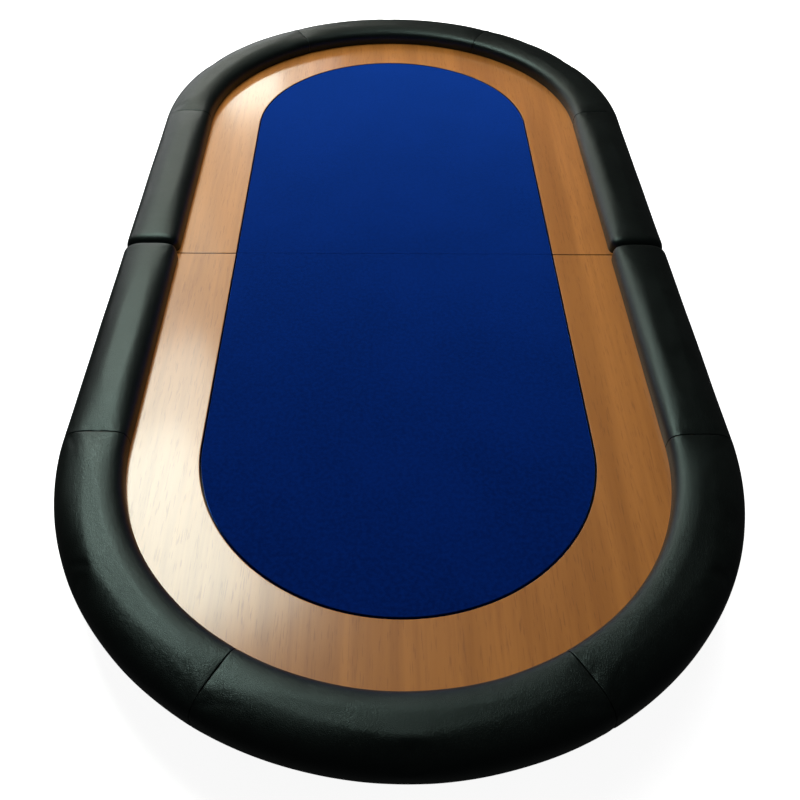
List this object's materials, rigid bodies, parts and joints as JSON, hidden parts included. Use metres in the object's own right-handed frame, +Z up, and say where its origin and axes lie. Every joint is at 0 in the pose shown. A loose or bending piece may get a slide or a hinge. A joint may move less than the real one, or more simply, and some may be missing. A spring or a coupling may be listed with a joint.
{
  "type": "folding poker table top",
  "caption": "Oval poker table top that folds in half across the middle, with a padded arm rail, a wood-laminate racetrack and a blue cloth playing surface.",
  "frame": {"origin": "on the resting plane of the rubber feet, under the middle of the fold line, with the top open and flat", "axes": "+Z up out of the playing surface; +Y along the length of the oval from the near half to the far half; +X to the right"},
  "size_m": [0.92, 1.8, 0.0588],
  "materials": {
    "rail_vinyl": "satin black leather-look vinyl with a fine grain",
    "foam": "open-cell upholstery foam",
    "painted_board": "board painted matt black",
    "plywood": "bare plywood",
    "racetrack_laminate": "glossy beech-coloured laminate",
    "speed_cloth": "smooth blue playing cloth",
    "foot_rubber": "matt black rubber",
    "hinge_steel": "zinc-plated steel"
  },
  "bodies": {
    "near_half": {"hinge_left_near_leaf": "hinge_steel", "hinge_left_near_screw_left": "hinge_steel", "hinge_left_near_screw_right": "hinge_steel", "hinge_left_pin": "hinge_steel", "hinge_middle_near_leaf": "hinge_steel", "hinge_middle_near_screw_left": "hinge_steel", "hinge_middle_near_screw_right": "hinge_steel", "hinge_middle_pin": "hinge_steel", "hinge_right_near_leaf": "hinge_steel", "hinge_right_near_screw_left": "hinge_steel", "hinge_right_near_screw_right": "hinge_steel", "hinge_right_pin": "hinge_steel", "near_base_board": "painted_board", "near_foot_end_left": "foot_rubber", "near_foot_end_right": "foot_rubber", "near_foot_fold_left": "foot_rubber", "near_foot_fold_right": "foot_rubber", "near_play_board": "plywood", "near_play_cloth": "speed_cloth", "near_play_pad": "foam", "near_racetrack": "racetrack_laminate", "near_rail_core": "plywood", "near_rail_cover_end_bend": "rail_vinyl", "near_rail_cover_left_bend": "rail_vinyl", "near_rail_cover_left_side": "rail_vinyl", "near_rail_cover_right_bend": "rail_vinyl", "near_rail_cover_right_side": "rail_vinyl", "near_rail_foam_end": "foam", "near_rail_foam_left": "foam", "near_rail_foam_right": "foam"},
    "far_half": {"far_base_board": "painted_board", "far_foot_end_left": "foot_rubber", "far_foot_end_right": "foot_rubber", "far_foot_fold_left": "foot_rubber", "far_foot_fold_right": "foot_rubber", "far_play_board": "plywood", "far_play_cloth": "speed_cloth", "far_play_pad": "foam", "far_racetrack": "racetrack_laminate", "far_rail_core": "plywood", "far_rail_cover_end_bend": "rail_vinyl", "far_rail_cover_left_bend": "rail_vinyl", "far_rail_cover_left_side": "rail_vinyl", "far_rail_cover_right_bend": "rail_vinyl", "far_rail_cover_right_side": "rail_vinyl", "far_rail_foam_end": "foam", "far_rail_foam_left": "foam", "far_rail_foam_right": "foam", "hinge_left_far_leaf": "hinge_steel", "hinge_left_far_screw_left": "hinge_steel", "hinge_left_far_screw_right": "hinge_steel", "hinge_middle_far_leaf": "hinge_steel", "hinge_middle_far_screw_left": "hinge_steel", "hinge_middle_far_screw_right": "hinge_steel", "hinge_right_far_leaf": "hinge_steel", "hinge_right_far_screw_left": "hinge_steel", "hinge_right_far_screw_right": "hinge_steel"}
  },
  "joints": [
    {"name": "fold", "type": "hinge", "parent": "near_half", "child": "far_half", "pos_m": [0, 0, 0.0041], "axis": [-1, 0, 0], "range_deg": [0, 180]}
  ]
}
